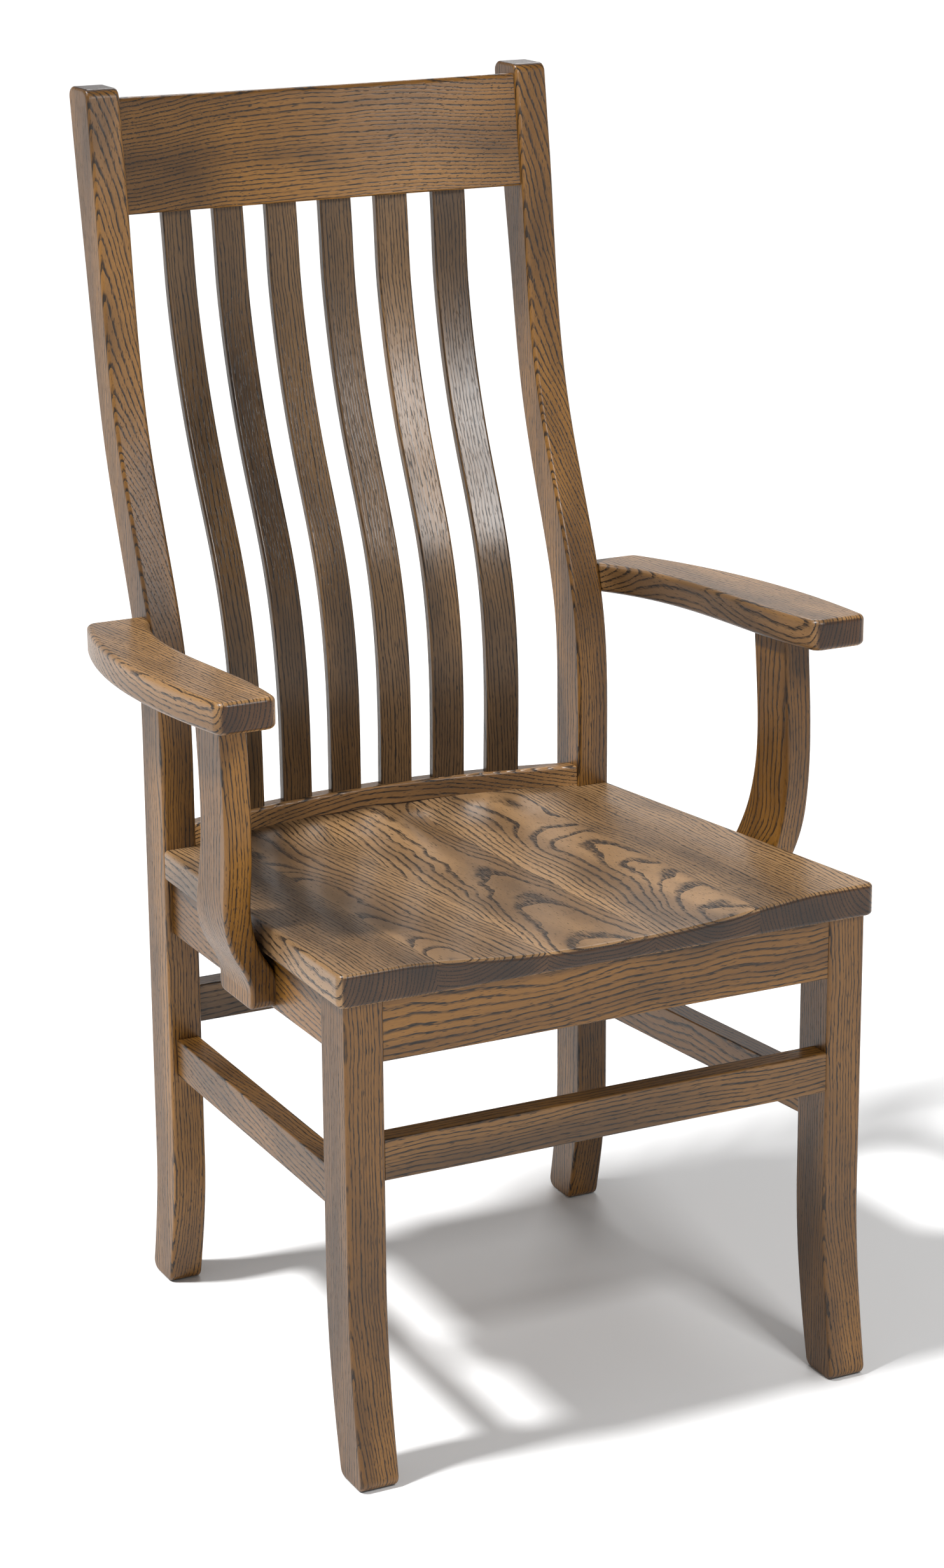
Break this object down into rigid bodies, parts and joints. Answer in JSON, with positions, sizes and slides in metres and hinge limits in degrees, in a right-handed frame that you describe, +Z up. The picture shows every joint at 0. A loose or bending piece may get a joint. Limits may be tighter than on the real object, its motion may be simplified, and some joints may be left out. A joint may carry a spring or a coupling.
{
  "type": "armchair",
  "caption": "Wooden dining armchair with a tall raked slatted back, a scooped solid seat, bent-leg feet, stretchers and curved flat arms.",
  "frame": {"origin": "bottom centre of the whole chair's bounding box, on the floor", "axes": "+Z up, -Y towards the front of the seat, +X to the right as seen from the front"},
  "size_m": [0.6366, 0.6404, 1.1105],
  "materials": {
    "frame_oak": "satin lacquer over brown stain",
    "seat_oak": "satin lacquer over brown stain",
    "block_wood": "bare sawn wood",
    "dowel_wood": "bare turned wood",
    "screw_steel": "zinc plated"
  },
  "bodies": {
    "root": {"arm_dowels": "dowel_wood", "arm_left": "frame_oak", "arm_right": "frame_oak", "arm_support_left": "frame_oak", "arm_support_right": "frame_oak", "arm_support_screws": "screw_steel", "back_rail_screws": "screw_steel", "back_slat_1": "frame_oak", "back_slat_2": "frame_oak", "back_slat_3": "frame_oak", "back_slat_4": "frame_oak", "back_slat_5": "frame_oak", "back_slat_6": "frame_oak", "corner_block_front_left": "block_wood", "corner_block_front_right": "block_wood", "corner_block_rear_left": "block_wood", "corner_block_rear_right": "block_wood", "corner_block_screws": "screw_steel", "crest_rail": "frame_oak", "front_apron": "frame_oak", "front_leg_left": "frame_oak", "front_leg_right": "frame_oak", "front_stretcher": "frame_oak", "lower_back_rail": "frame_oak", "rear_apron": "frame_oak", "rear_post_left": "frame_oak", "rear_post_right": "frame_oak", "rear_stretcher": "frame_oak", "seat_board_1": "seat_oak", "seat_board_2": "seat_oak", "seat_board_3": "seat_oak", "seat_board_4": "seat_oak", "seat_board_5": "seat_oak", "seat_screws": "screw_steel", "side_apron_left": "frame_oak", "side_apron_right": "frame_oak", "side_stretcher_left": "frame_oak", "side_stretcher_right": "frame_oak"}
  },
  "joints": []
}
